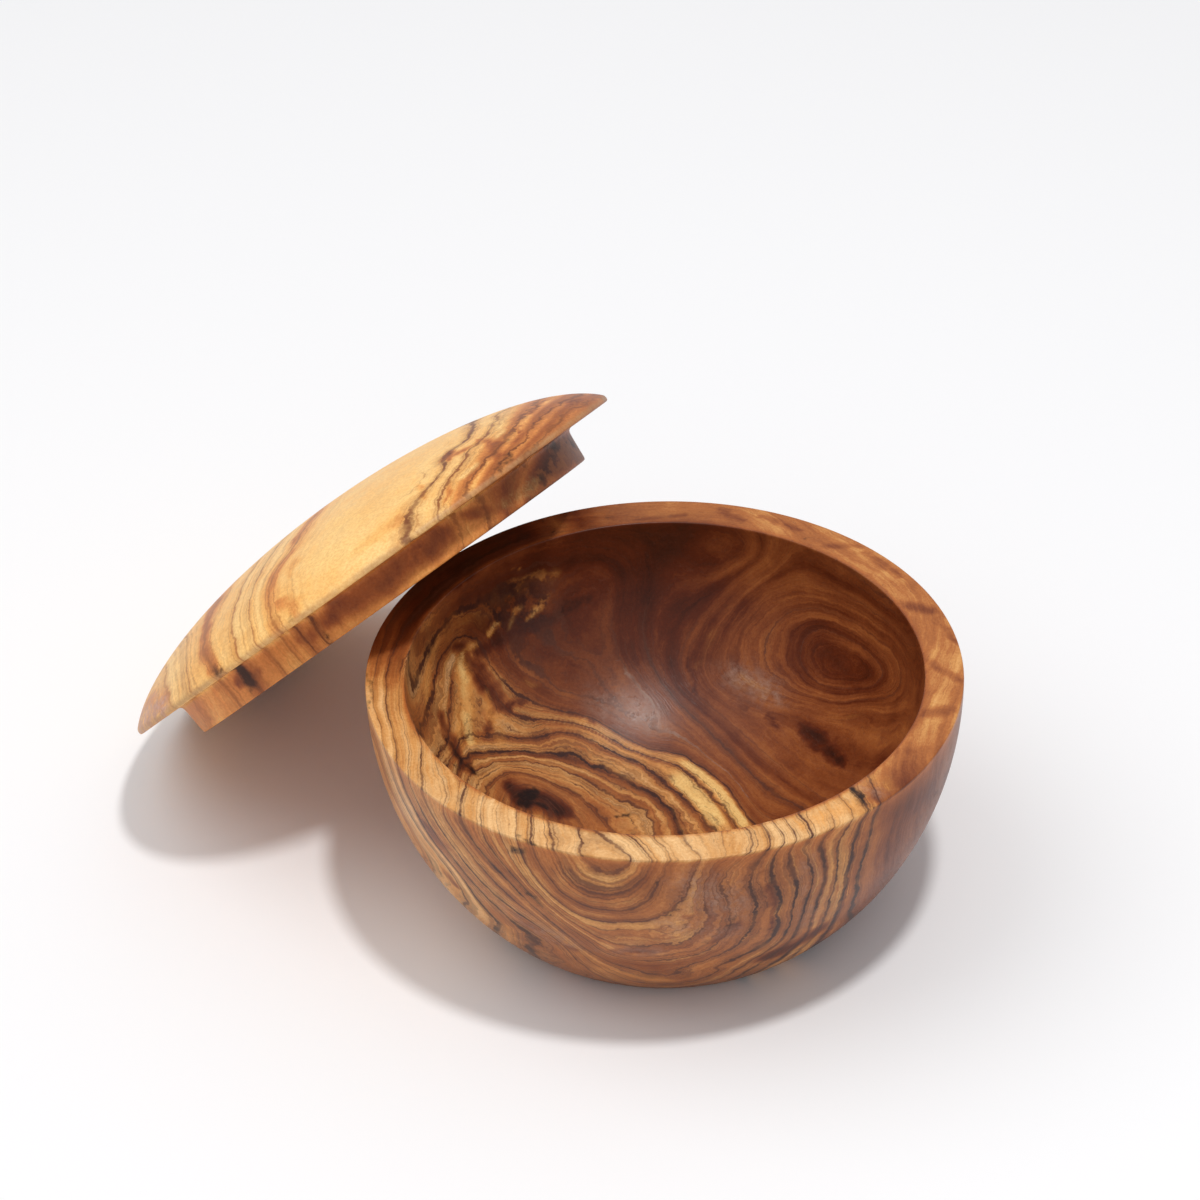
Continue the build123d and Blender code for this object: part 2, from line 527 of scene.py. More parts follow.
bowlRim = dict(
    rimFarLeft=(12, 0.6, [-58.6, -8, -58.2, -2, -57.8, 4, -57, 9]),
    rimLeft=(11, 0.85, [-54, 12, -55.2, 6, -56, 0, -55.7, -5, -55.2, -10, -54.8, -15, -53.8, -19.5, -53.2, -24,
        -52.2, -29]),
    rimLeftThin=(10, 0.5, [-53, -10.5, -51.8, -15, -51, -20, -50.6, -25, -50.2, -31]),
    rimLeftBold=(9, 0.95, [-50, -14.5, -49.2, -18, -48.2, -21.5, -47.8, -25.3, -48.2, -29, -47.7, -33,
        -47.2, -36]),
    rimDot=(8, 0.5, [-45.8, -26.5, -44.6, -31, -43.2, -35, -42.4, -38.5, -42.2, -41]),
    rimPair=(7, 0.95, [-39.4, -34.5, -40.3, -38, -40.5, -41, -40.2, -44.5]),
    rimPairThin=(6.5, 0.6, [-36.8, -37, -37.7, -40.5, -37.6, -43.5, -37.2, -46.5]),
    rimSixth=(6, 0.5, [-35.2, -39.2, -35.8, -43, -35.4, -48]),
    rimFifth=(5, 0.35, [-33.5, -42.5, -33.8, -46, -32.6, -50]),
    rimFourth=(4, 0.6, [-28.4, -44, -28.3, -47, -29.2, -50, -29, -52.3]),
    rimThird=(3, 0.8, [-27.3, -44.7, -26.4, -48, -26.7, -50.7, -26, -54]),
    rimSecond=(2, 0.8, [-22.8, -47, -22.7, -51, -22.2, -55.5]),
    rimPeakLeft=(1, 0.8, [-14, -50.5, -15, -53, -16.8, -55.2, -17.4, -57.2]),
    rimPeakRight=(1, 0.75, [-13.4, -50.6, -10.6, -53.5, -8.5, -56.5, -6.6, -59.5]),
    rimFront=(2, 0.85, [-8.5, -51.5, -6.2, -54, -4, -57, -2.6, -59.7]),
    rimFrontThin=(3, 0.45, [-3, -52.3, -1.2, -55, 0.5, -58, 1.2, -59.8]),
    rimFrontRight=(4, 0.55, [2.5, -52.2, 4.2, -55, 5.3, -57.5, 6.4, -59.5]),
    rimPale=(5, 0.3, [9.8, -51.5, 10.6, -54.5, 12.5, -58]),
    rimStroke=(6.5, 0.95, [17.4, -49.6, 17.6, -52.5, 18.3, -55, 19.3, -56.6]),
    rimStrokeTwo=(8, 0.8, [20.5, -48.3, 21.8, -51, 22.6, -54, 22.9, -55.4]),
    rimStrokeThree=(9, 0.75, [22.2, -47.6, 23.6, -50.5, 24.8, -54.5]),
    rimStrokeFour=(10, 0.9, [25.3, -45.9, 26.4, -48.7, 27.2, -51, 28.2, -52.8]),
    rimFine=(11, 0.4, [30.5, -42.7, 31.5, -46, 32.7, -50]),
    rimCrack=(13, 1, [36.2, -38, 37.2, -40.8, 38.3, -43.3, 39.5, -45]),
)
bowlOutside = dict(
    smallCup=(1, 0.9, [255.2, 0.5, 256.5, 1.6, 258.4, 3.8, 260, 4, 261.2, 2.4, 262.5, 1.4, 263.8, 0.5]),
    secondCup=(2, 0.7, [249.4, 0.5, 250, 3.5, 251.2, 6.5, 253.5, 8.2, 257, 9, 261, 8.6, 264, 6.8, 266, 4.5,
        267.2, 0.8]),
    thirdCup=(3, 0.8, [244.4, 0.5, 245.8, 4, 248.6, 9, 252, 12.4, 257, 13.9, 262, 13.6, 265.5, 11.8, 267.6, 8,
        268.6, 4, 269.8, 0.8]),
    fourthCup=(4, 0.75, [241.2, 0.8, 242.6, 5, 245.5, 10, 249.6, 14.6, 254.5, 16.8, 260, 17.4, 266, 16.4,
        270, 14.3, 272.5, 12, 274, 9, 275, 5, 276, 0.8]),
    fifthCup=(5, 0.6, [238, 0.8, 240.5, 6, 244, 12, 248, 17, 252, 21.3, 256, 23.7, 261, 25, 268, 24.8,
        272, 24.2, 275.6, 21.6, 278, 18, 277.8, 13.5, 276, 9.5, 277, 4.5, 278.5, 0.8]),
    sixthCup=(6, 0.7, [233, 0.8, 236, 6, 240.5, 12.5, 245, 18, 249.6, 24, 253.5, 28.5, 258, 30.5, 264, 31.5,
        270, 31, 275.5, 29.4, 279.4, 27, 281, 22, 282.6, 17.8, 281.4, 13.2, 280, 8, 281, 3, 283, 0.8]),
    longDiagonal=(7, 0.85, [227.1, 0.8, 230.9, 4.7, 234.7, 8, 239, 11.5, 242.4, 15, 245.8, 19, 249.6, 23,
        252.6, 26.5, 255.1, 30.5, 258, 34.3, 262, 36.6, 266.5, 38.2, 271, 37.6, 274.5, 34.6, 278, 32.4, 282, 29,
        285, 25, 286.6, 20, 287.8, 16, 287, 12, 286.6, 8, 287.5, 3, 288, 0.8]),
    darkStroke=(8, 1, [289.3, 0.8, 289.7, 7.5, 291.6, 12.8, 292.5, 15, 291.3, 18, 292.7, 22, 292.4, 27,
        289.5, 31, 285, 35, 281.5, 39, 279.5, 43.5]),
    strokeTwo=(9, 0.85, [292.6, 0.8, 293.6, 4.7, 294.5, 7.3, 294.3, 10.7, 294.7, 15, 295.4, 20, 295, 27,
        292.5, 33, 288, 38.5, 284.5, 44]),
    strokeThree=(10, 0.8, [295.7, 0.8, 297.4, 5.3, 298.6, 10, 298.6, 14.7, 297.6, 19.3, 297.5, 25.3, 297, 31,
        293, 38, 289, 45]),
    strokeFour=(11, 0.95, [298.3, 0.8, 300.2, 6, 301.2, 11.3, 301.4, 16.7, 300.4, 22, 300.8, 28, 301, 34,
        298, 41, 294.5, 48]),
    strokeFive=(13, 0.95, [308.9, 0.8, 307.4, 5.3, 306.7, 10, 306.5, 13, 307, 18.7, 307.3, 25.3, 307.6, 30,
        308.5, 36, 309, 42]),
    strokeSix=(14, 0.85, [311.4, 0.8, 312.2, 6, 310.9, 11.3, 310.1, 16.7, 310.9, 22, 312.2, 28, 314, 33.3,
        317.2, 38, 321, 42]),
    smoothOne=(15, 0.15, [317, 1, 315, 8, 314.5, 16, 317, 24, 321, 31, 326, 37]),
    smoothTwo=(16, 0.15, [324, 1, 321, 9, 321, 17, 325, 25, 331, 31]),
    smoothThree=(17, 0.15, [331, 1, 329, 8, 331, 16, 336, 22]),
    leftEighth=(8, 0.55, [223, 0.8, 227, 6, 231.5, 11, 236, 15.5, 241, 20, 246, 24.5, 249.5, 29.5, 252.5, 36,
        256, 42]),
    leftNinth=(9, 0.75, [217, 0.8, 221, 5.5, 227, 12, 233, 17.5, 239, 22, 245, 26.5, 248.2, 31, 249.6, 37,
        252.5, 44]),
    leftTenth=(10, 0.75, [213, 0.8, 217, 6, 223, 12.5, 229, 18.8, 233.5, 23.6, 236.4, 29, 237.8, 35, 236, 41.3,
        232.8, 46.7]),
    leftEleventh=(11, 0.8, [209, 0.8, 213, 6, 218, 12, 223, 16.4, 226.6, 20, 227.6, 24.7, 229.4, 28.3,
        231.2, 30.5, 229, 34.7, 225.8, 39.3, 222.5, 43.5]),
    leftTwelfth=(12, 0.55, [203, 0.8, 207, 6, 212, 11, 217, 15, 221, 18.5, 222.6, 23, 222.5, 28, 219, 33,
        214, 38.5]),
    leftThirteenth=(13, 0.35, [197, 1, 202, 8, 208, 14, 213, 19, 214, 24, 210, 30]),
)

# Patches of the bowl, in the same measures:
# (from x, from y, to x, to y, reach in mm, strength) and, for some, the first and last ring
bowlPale = dict(
    firstYellowBand=(3, 16, 9, 5, 9, 1, 7.08, 7.9),
    secondYellowBand=(5, 19, 15, 3, 8, 1, 8.08, 8.85),
    goldenArch=(-18, 23, -6, 20, 6, 0.6, 7.05, 7.9),
    goldenEdge=(-20, 26, -4, 23, 4, 0.6, 8.1, 8.8),
    underArch=(-15, 17.5, 2, 12, 6, 0.5, 6.1, 6.8),
    leftPatch=(-41.5, 26, -39.5, 12, 3.2, 0.9),
    leftPatchLow=(-42.5, 17, -41, 7, 2, 0.6),
    leftStreak=(-46.5, 22, -48.5, 8, 2.4, 0.6),
    fleckBand=(-45, 24, -24, 45, 4.6, 0.42),
    fleckEdge=(-44, 27, -34, 37, 1.3, 0.5),
    fleckOne=(-37, 32.5, -34, 36, 1.3, 0.8),
    fleckTwo=(-32, 36.5, -29, 40.5, 1.3, 0.8),
    fleckThree=(-27.5, 40, -24, 44.5, 1.4, 0.75),
    fleckFour=(-41, 27, -38.5, 30.5, 1.2, 0.7),
    fleckFive=(-33, 40, -29.5, 42.5, 0.7, 0.7),
    burlLeft=(-30, 29, -26, 33, 1.8, 0.3),
    leftGold=(-37, 25, -33, 14, 2.6, 0.5),
    backGlow=(9, 42, 11, 38, 3.5, 0.2),
    mottleRight=(15, 36, 21, 31, 2.6, 0.4),
    mottleFar=(24, 28, 29, 21, 2.8, 0.25),
    eyeRim=(7, 38, 11, 44, 1.4, 0.3),
    eyeTop=(12, 45, 24, 46, 1.4, 0.3),
    eyeLow=(33, 21, 45, 13, 1.3, 0.3),
    backRim=(-3, 57, 9, 56, 4, 0.2),
    backLeftRim=(-22, 53, -17, 50, 1.8, 0.3),
    frontRim=(26, -50, 35, -44, 4, 0.5),
    crackRim=(40, -35, 44, -38, 3, 0.4),
)
bowlPaleOutside = dict(
    longGold=(221, 1, 243, 18, 2.2, 0.42),
    leftLoop=(205, 16, 218, 22, 4.5, 0.42),
    lowerLoop=(233, 31, 229, 43, 4, 0.42),
    lowPatch=(254, 39, 269, 43, 4.5, 0.48),
    rightStreak=(304, 4, 303, 26, 1.6, 0.4),
)
bowlBrown = dict(
    blueStreak=(28.5, 21.5, 36, 8, 4.4, 1.5),
    # painted shadow: the lid's shadow on the back left of the inside wall, over darker wood
    backShadow=(-38, 30, -22, 43, 5, 1.4),
    backLeftDeepAndLidShadow=(-30, 37, -16, 46, 4, 1.5),
    eyeHeart=(33, 33, 40, 22, 4.8, 1.32),
    knotHalo=(-32, 5, -21, 5, 4.8, 1.55),
    apexBlot=(-42, 27, -32, 24, 3, 1.35),
    apexStreak=(-36, 22, -29, 27, 1.6, 1.2),
    fleckDark=(-38, 32, -26, 44, 1.1, 1.7),
    # the lid's shadow painted high on the left of the inside wall, over darker wood
    leftDeepAndLidShadow=(-46, 28, -38, 37, 3, 1.4),
    leftBlot=(-36.5, 20, -37, 15, 1.5, 1.1),
    leftStroke=(-42, 20, -41, 9, 0.9, 0.95),
    wallDark=(-46, 10, -40, 4, 3, 1.15),
    streakDark=(7, 34, 5.5, 41, 1.6, 1.4),
    midBlot=(21.5, 27, 24, 23, 2.2, 1.25),
    greyBlot=(13, 32, 17, 29, 2.6, 1.2),
    mottleLine=(-24, 28.5, -15, 28, 1.3, 1.2),
    greyRimOne=(39.5, -40, 41, -42, 2.4, 1),
    rimBlotA=(11, 57, 18, 52, 2.3, 0.9),
    rimBlotB=(21, 54, 29, 49, 2.5, 0.9),
    rimBlotC=(33, 43, 40, 43, 2.3, 0.85),
    rimBlotD=(42, 41, 48, 32, 2.5, 0.9),
    rimBlotE=(49, 22, 54, 20, 2.9, 0.95),
    rimBlotF=(55, 21, 58.5, 9, 2.1, 0.9),
    rimBlotG=(53, 3, 59, -4, 2.3, 0.82),
    rimBlotH=(50, -15, 58, -13, 2.7, 0.8),
    rimBlotI=(45, -27, 52, -26, 2.7, 0.72),
    rimBlotJ=(-6, 53, 5, 55, 2.1, 0.95),
    # darker wood at the back left of the rim and the top of the inside wall, with the lid's shadow painted over
    # it
    rimBackDarkAndLidShadow=(-46, 34, -28, 49, 5, 1.6),
)
bowlBrownOutside = dict(
    leftBundle=(216, 8, 250, 31, 3, 1),
    cupBlot=(256, 19, 266, 20, 3, 0.7),
    underCup=(259, 28, 266, 28, 3, 1),
    burlCrack=(283, 18, 278, 26, 1.8, 1.1),
    leftSpot=(219, 22, 222, 25, 2.4, 1.1),
    lowRight=(293, 38, 304, 32, 5, 1.35),
    burlLine=(271, 14, 284, 22, 0.9, 1.1),
    burlLineTwo=(268, 22, 280, 9, 0.8, 1),
    betweenStrokes=(288, 4, 292, 24, 1.6, 1.15),
    smoothRight=(318, 4, 345, 12, 14, 1.15),
)
scarRing = 10
bowlScar = dict(
    upper=(-9, 38.5, 4, 25.5, 1.6, 0.6),
    lower=(2, 27.5, 16, 11, 1.8, 0.8),
)
bowlGrey = dict(
    # on the inside, behind the middle: grey burl and scratches with a painted highlight over them
    greyMottleAndHighlight=(-15, 32, -1, 29, 4.2, 0.8),
    greyMottleTopAndHighlight=(-9, 35, -4, 32, 2.2, 0.35),
    greyRight=(14, 37, 23, 30, 4.2, 0.85),
    greyRim=(37.5, -36, 41, -40, 2.4, 0.9),
)
bowlGreyOutside = dict(
    burl=(274, 6, 283, 14, 6, 0.8),
    burlLow=(269, 17, 282, 22, 4.5, 0.6),
    cupShadow=(256, 28, 268, 28, 3, 0.5),
    # grey-blue wood on the outside left, with a painted sheen over it
    leftBlueAndSheen=(206, 5, 250, 29, 4.6, 1),
    strokes=(297, 5, 301, 26, 4, 0.6),
)
bowlDarkMarks = dict(
    blackKnot=(-29.5, 2.5, -27.5, 8.5, 2.2, 1.15),
    knotRay=(-28, 5, -22.5, 4, 1.2, 0.8),
    smallMark=(-11, 5.4, -5.5, 7.4, 0.9, 0.9),
    wallKnot=(-45, 7, -39, 4, 1.8, 0.85),
    wallMark=(-43, 1.5, -41.5, 3, 1.2, 0.7),
    rimBlot=(-28.5, -51, -26, -54, 1, 0.8),
    backDashOne=(-25, 54.5, -21.5, 49, 1.1, 0.8),
    backDashTwo=(-13, 57, -10.5, 53.5, 0.9, 0.7),
    backDashThree=(31.5, 48.5, 29, 45.6, 0.5, 0.7),
    rimCrack=(36.3, -38, 39.4, -44.8, 1.4, 0.95),
    rimDot=(-43.8, -33.4, -43.6, -33, 0.7, 0.9),
    strokeKnot=(17.7, -51, 17.9, -53.6, 0.8, 0.7),
    # a near-black band along the rim's outer left edge
    leftEdge=(-59, -10, -59, 2, 1, 0.8),
    swirlKnot=(4, 41, 5.5, 40.5, 1.3, 0.5),
)
bowlKnotsOutside = dict(
    cupKnot=(242, 1, 241, 4, 1.2, 0.9),
    cupSpot=(267.5, 4, 267.4, 6.5, 0.8, 0.8),
    crossKnot=(282.5, 16.5, 281.5, 19, 1.1, 0.7),
    lowKnot=(271, 38, 273, 36, 1.3, 0.6),
    rightLow=(300, 38, 303, 42, 2.5, 0.5),
    bundle=(241, 12, 246, 17, 1.3, 0.7),
)

# The pith runs through a point towards a direction. The rings are ringWidth apart where no line bends them
bowlPith = dict(through=(-20, -30, 36), towards=(-0.162, 0.815, -0.556), ringWidth=4.2, bold=0.45)

# How brown, how finely lined, how bold and how wavy the wood is: {ring: value} on the inside wall,
# {heading: value} on the rim and the outside
bowlCurves = dict(
    insideHeart={0: 0.7, 3: 0.5, 4: 0.62, 4.8: 0.38, 5.5: 0.42, 5.9: 0.75, 6.1: 0.3, 6.7: 0.45, 6.95: 0.75,
        7.1: 0.25, 7.7: 0.3, 7.95: 0.78, 8.1: 0.25, 8.75: 0.36, 9.05: 0.85, 9.5: 0.92, 9.9: 0.75, 10.2: 0.98,
        10.6: 0.76, 11: 1, 11.3: 0.84, 11.6: 1.12, 12: 0.86, 12.45: 1.08, 12.9: 0.84, 13.4: 1.1, 13.8: 0.82,
        14.4: 1, 15: 0.86, 15.6: 0.96, 16.3: 0.92, 17: 1.05, 18: 1.1, 18.8: 1.25},
    # on the rim, from about 120 to 165 degrees, the brownness is darker wood and also the lid's shadow painted
    # in
    rimBrownAndLidShadow={0: 0.46, 40: 0.52, 90: 0.6, 103: 0.75, 108: 1.2, 113: 0.7, 120: 1.35, 150: 1.45, 165: 1.2, 174:
        0.75, 185: 0.35, 240: 0.08, 300: 0.1, 330: 0.32, 360: 0.46},
    outsideHeart={0: 0.95, 60: 0.75, 185: 0.35, 205: 0.28, 235: 0.42, 255: 0.58, 275: 0.64, 295: 0.55, 312:
        0.65, 318: 1.05, 360: 0.95},
    insideFine={0: 1, 8.5: 0.9, 9.3: 0.12, 20: 0.1},
    rimFine={0: 0, 100: 0, 120: 0.5, 165: 0.5, 185: 0.22, 280: 0.22, 330: 0.1, 360: 0},
    outsideFine={0: 0.1, 90: 0.4, 185: 0.5, 205: 1, 248: 1, 262: 0.75, 282: 0.7, 290: 0.85, 309: 0.8, 316:
        0.1, 360: 0.1},
    rimBold={0: 0.1, 95: 0.1, 110: 0.8, 165: 0.8, 185: 0.68, 320: 0.72, 330: 0.15, 360: 0.1},
    outsideBold={0: 1, 200: 1.15, 240: 1.1, 250: 0.7, 284: 0.75, 290: 1.4, 312: 1.4, 318: 1, 360: 1},
    insideWavy={0: 0.3, 3: 0.5, 5: 1, 8.8: 1, 9.3: 0.15, 13: 0.2, 15: 1.1},
    outsideWavy={0: 0.2, 248: 0.25, 266: 0.5, 272: 1.4, 284: 1.4, 290: 0.9, 309: 0.8, 320: 0.2, 360: 0.2},
)


along, section, points, faces, sheet, where = turnPiece(*bowlSection(bowlSettings), bowlSettings,
                                                        bowlSettings["footRadius"])
rimAlong = along[np.argmax(section[:, 0] + 1e-3 * section[:, 1])]
mouthAlong = rimAlong + bowlSettings["rimWidth"]
seenAbove, onWall = makePlacers(section, along, bowlSettings["sheetGap"], np.argmax(section[:, 0]), rimAlong)
degreesToRim = np.array([np.radians(bowlSettings["rimRadius"]), 1])
bowlLines = readLines((bowlInside, seenAbove, 1), (bowlRim, seenAbove, 1), (bowlOutside, onWall, degreesToRim))
rings, boldness = growGrain(where, bowlLines, bowlPith)

x, y = points[:, 0], points[:, 1]
radius, heading = np.hypot(x, y), np.degrees(np.arctan2(y, x)) % 360
insideShare = 1 / (1 + np.exp(-(sheet - mouthAlong) / bowlSettings["mouthBlend"]))
outsideShare = 1 / (1 + np.exp((sheet - rimAlong) / bowlSettings["rimBlend"]))


def joinSheets(inside, rim, outside):
    return rim + (inside - rim) * insideShare + (outside - rim) * outsideShare


# the inside is darker towards the back, and its back left has fine wavy lines of its own
backLeft = np.exp(-((heading - 145) / 22) ** 2) * climb(radius, 36, 8)
farLeft = np.exp(-((heading - 166) / 17) ** 4) * climb(radius, 41, 4)
insideHeart = curve(rings, bowlCurves["insideHeart"]) + 0.4 * climb(y, 28, 20) * (1 - climb(x, 0, 20))
insideHeart = insideHeart - 0.45 * farLeft * climb(rings, 8.8, 0.4)
insideFine = np.maximum(np.maximum(curve(rings, bowlCurves["insideFine"]), 0.8 * backLeft), farLeft)
# lines fade on the back and right of the rim, at the back of the inside wall and inside the innermost cup
insideBold = 1 - 0.8 * climb(y, 42, 6)
insideWavy = curve(rings, bowlCurves["insideWavy"]) + 0.6 * np.maximum(backLeft, farLeft)
around = {name: curve(heading, given) for name, given in bowlCurves.items() if not name.startswith("inside")}
brownLevel = joinSheets(insideHeart, around["rimBrownAndLidShadow"], around["outsideHeart"])
fine = joinSheets(insideFine, around["rimFine"], around["outsideFine"]) * climb(rings, 0.6, 0.4)
brown = paint(where, rings, (bowlBrown, seenAbove), (bowlBrownOutside, onWall))
pale = paint(where, rings, (bowlPale, seenAbove), (bowlPaleOutside, onWall))
bowl = makePiece("woodBowl", points, faces, {
    "ring": rings,
    "bold": boldness * joinSheets(insideBold, around["rimBold"], around["outsideBold"]),
    "fine": fine * (1 - pale * np.clip(np.abs(x + 16) / 14, 0.2, 0.9)),
    # brownness of the wood; at the back left it also holds the lid's painted shadow
    "brownLevel": np.maximum(brownLevel, brown),
    "pale": pale,
    "grey": paint(where, rings, (bowlGrey, seenAbove), (bowlGreyOutside, onWall)),
    "knot": paint(where, rings, (bowlDarkMarks, seenAbove), (bowlKnotsOutside, onWall)),
    "scar": paint(where, rings, (bowlScar, seenAbove)),
    # the worn band is widest just under the rim's outer corner
    "edge": np.where(
        sheet < rimAlong - 0.1,
        np.exp(-(rimAlong - sheet) / bowlSettings["wornReach"]),
        bowlSettings["wornMouth"] * np.exp(-((sheet - mouthAlong) / bowlSettings["wornMouthReach"]) ** 2)
    ),
    "wavy": joinSheets(insideWavy, 0.5, around["outsideWavy"]),
})


# Lid, in mm and degrees: a dome that is part of an ellipse, a thin edge, and a plug with a slight draft
lidSettings = dict(
    radius=59.93,
    domeHeight=16.4,
    domeSink=5.2,
    edgeHeight=1.2,
    plugHeight=7.3,
    plugRoot=49.5,
    plugEnd=48.9,
    edgeEase=0.42,
    rootEase=1.3,
    endEase=0.6,
    rowSpacing=0.62,
    columns=400,
    sheetGap=0.5,
    tilt=46.6,
    heading=141.6,
    # plugHeart: how much browner the plug is than the dome, partly darker wood and partly painted shade under
    # the lid's edge
    plugHeart=0.42,
    plugBlend=0.5,
    wornReach=0.8,
)


# The dome's curve: h = depth sqrt(1 - (r / reach) squared) - sink
def lidSection(s):
    depth = s["domeHeight"] + s["domeSink"]
    reach = s["radius"] / np.sqrt(1 - ((s["domeSink"] + s["edgeHeight"]) / depth) ** 2)
    turn = np.linspace(np.arcsin((s["domeSink"] + s["edgeHeight"]) / depth), np.pi / 2, 260)
    dome = np.stack([reach * np.cos(turn), depth * np.sin(turn) - s["domeSink"]], 1)
    under = [(0, -s["plugHeight"]), (s["plugEnd"], -s["plugHeight"]), (s["plugRoot"], 0), (s["radius"], 0)]
    corners = [
        (s["plugEnd"], -s["plugHeight"], s["endEase"]),
        (s["plugRoot"], 0, s["rootEase"]),
        (s["radius"], 0, s["edgeEase"]),
        (s["radius"], s["edgeHeight"], s["edgeEase"]),
    ]
    return np.concatenate([under, dome]), corners


# Where the lid leans: its lowest edge stands on the floor and its box is the frame's own
def leanLid(points, s):
    tilt, heading = np.radians(s["tilt"]), np.radians(s["heading"])
    side = np.array([np.cos(heading), np.sin(heading), 0])
    up = np.array([0, 0, 1])
    normal = side * np.sin(tilt) + up * np.cos(tilt)
    uphill = up * np.sin(tilt) - side * np.cos(tilt)
    across = np.cross(normal, uphill)
    placed = np.outer(points[:, 0], uphill) + np.outer(points[:, 1], across) + np.outer(points[:, 2], normal)
    low, high = (np.array(corner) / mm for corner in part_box("lid"))
    return placed + (low + high) / 2 - (placed.min(0) + placed.max(0)) / 2


# Grain lines and patches of the lid, as the bowl's are given.
# Dome: mm uphill and mm across, seen square on. Plug's wall: degrees from uphill, mm down
lidDome = dict(
    cornerLine=(1, 0.4, [-5, -57.5, -10, -52.5, -16, -47, -24, -42]),
    leftThin=(2, 0.45, [4.6, -58.8, 1.5, -55.4, -1.5, -50.8, -6, -46, -12, -41, -20, -35]),
    leftBand=(3, 0.6, [12.5, -57, 7.5, -53.5, 3.3, -48.5, 1, -44, -2, -40, -6, -35, -11, -30, -16, -24,
        -22, -16]),
    leftPair=(4, 0.5, [20, -55, 16, -50, 12.5, -44.5, 9, -38.5, 5, -32, 0, -24, -8, -14]),
    leftFine=(5, 0.5, [25, -53.5, 20.5, -48, 16, -41.5, 12.5, -35, 9, -28, 3, -19, -4, -9]),
    brownLine=(6, 0.55, [30, -51, 26.5, -47, 23.5, -43, 21, -38.5, 20, -33.5, 19.5, -28.5, 16.5, -23, 12, -16.5,
        7.5, -9.5, 2, -3]),
    brownPatch=(7, 0.2, [35, -48, 31, -43.5, 27.5, -38, 25.5, -32, 24, -25, 21, -18, 16, -10, 10, -3, 4, 4]),
    plainLine=(8, 0, [43, -40, 38, -34, 34, -26, 33, -15, 29, -5, 22, 4, 14, 12]),
    wiggle=(9, 1, [52.5, -28.5, 51, -24.5, 50.2, -18.5, 50, -12.3, 48.4, -7, 45.8, -4.6, 44.5, -0.8, 43.8, 3.8,
        41.5, 8.3, 38.5, 12, 35, 15.5, 30, 20]),
    yellowEdge=(10, 0.75, [55.5, -22, 54.8, -17, 53, -13, 52.5, -8, 51, -3, 49, 2, 47.5, 7, 44.5, 12, 40.5, 17,
        36, 22, 31, 28]),
    heartEdge=(11, 0.9, [57.6, -14, 57, -8, 55.5, -2, 54.5, 3, 53, 8, 50, 14, 46.5, 20, 43, 26, 38, 32,
        33, 38]),
    heartLine=(12, 0.95, [59.3, -6, 58.6, 0, 57.5, 6, 55, 13, 51.5, 20, 48, 27, 44, 34, 39, 41]),
    heartOuter=(13, 0.85, [59.4, 5, 58, 12, 55.5, 19, 52, 26, 48.5, 33, 44.5, 39.5]),
)
lidPlug = dict(
    plugCorner=(1, 0.5, [-104, 1, -107, 3, -111, 6]),
    plugThin=(2, 0.6, [-88.5, 1, -88.5, 4, -89.5, 7]),
    plugBlack=(3, 1, [-79.5, 0.5, -79.8, 3.5, -80, 7]),
    plugFine=(4, 0.6, [-70.3, 0.5, -70.3, 3.5, -70, 7]),
    plugFineTwo=(5, 0.6, [-65, 0.5, -65.5, 3.5, -65, 7]),
    plugDark=(6, 0.9, [-60.5, 0.5, -60.3, 3.5, -60, 7]),
    plugDarkTwo=(7, 0.9, [-56.5, 0.5, -57, 3.5, -56.6, 7]),
    plugPlain=(8, 0.15, [-40, 0.5, -40, 3.5, -40, 7]),
    plugWiggle=(9, 0.6, [-14, 0.5, -15.5, 3.5, -17, 7]),
    plugHeart=(10, 0.9, [-6, 0.5, -6.5, 3.5, -7, 7]),
    plugHeartTwo=(11, 0.7, [8, 0.5, 4, 3.5, 0, 7]),
)
lidPale = dict(
    plainLeft=(44, -34, 33, -36, 6, 0.6),
    plainMiddle=(38, -26, 28, -22, 7, 0.5),
    edgeGlow=(55, -11, 54.5, -6, 2, 0.7),
    heartGap=(51, 5, 42, 18, 2.6, 0.7),
    wiggleGap=(53, -24, 52, -20, 1.6, 0.6),
)
lidBrown = dict(
    leftBand=(13, -57, -2, -41, 3.4, 0.85, 2.65, 3.25),
    leftBandFar=(-2, -41, -20, -18, 3.4, 0.75, 2.7, 3.3),
    brownBand=(24, -44, 19, -28, 2.6, 0.6, 5.7, 6.4),
    brownBandFar=(19, -28, 4, -4, 3.4, 0.55, 5.6, 6.4),
    brownPatch=(28, -40, 25, -33, 2.4, 0.5),
    rootPatch=(35, -48, 28, -46, 2.6, 0.6),
    wigglePatch=(51, -19, 46.5, -14.5, 1.2, 0.55),
    wiggleBlot=(47, -5, 44, 0, 1.4, 1.1),
    corner=(-6, -58, -24, -50, 3.4, 0.5),
    heartLoop=(58, -3, 53, 3, 2.6, 1.15),
    heartArm=(56, 0, 47, 4, 1.4, 0.9),
    heartSpur=(50, 2, 45, -5, 1.3, 0.85),
    heartBand=(57, 6, 41, 37, 4.2, 1),
    heartLine=(54, 8, 40, 30, 1.3, 1.25),
    heartDeep=(52, 24, 42, 38, 3.2, 1.25),
    edgeBlot=(56, -19, 54, -13, 1.4, 0.7),
    plainTint=(44, -34, 50, -24, 3.2, 0.4),
)
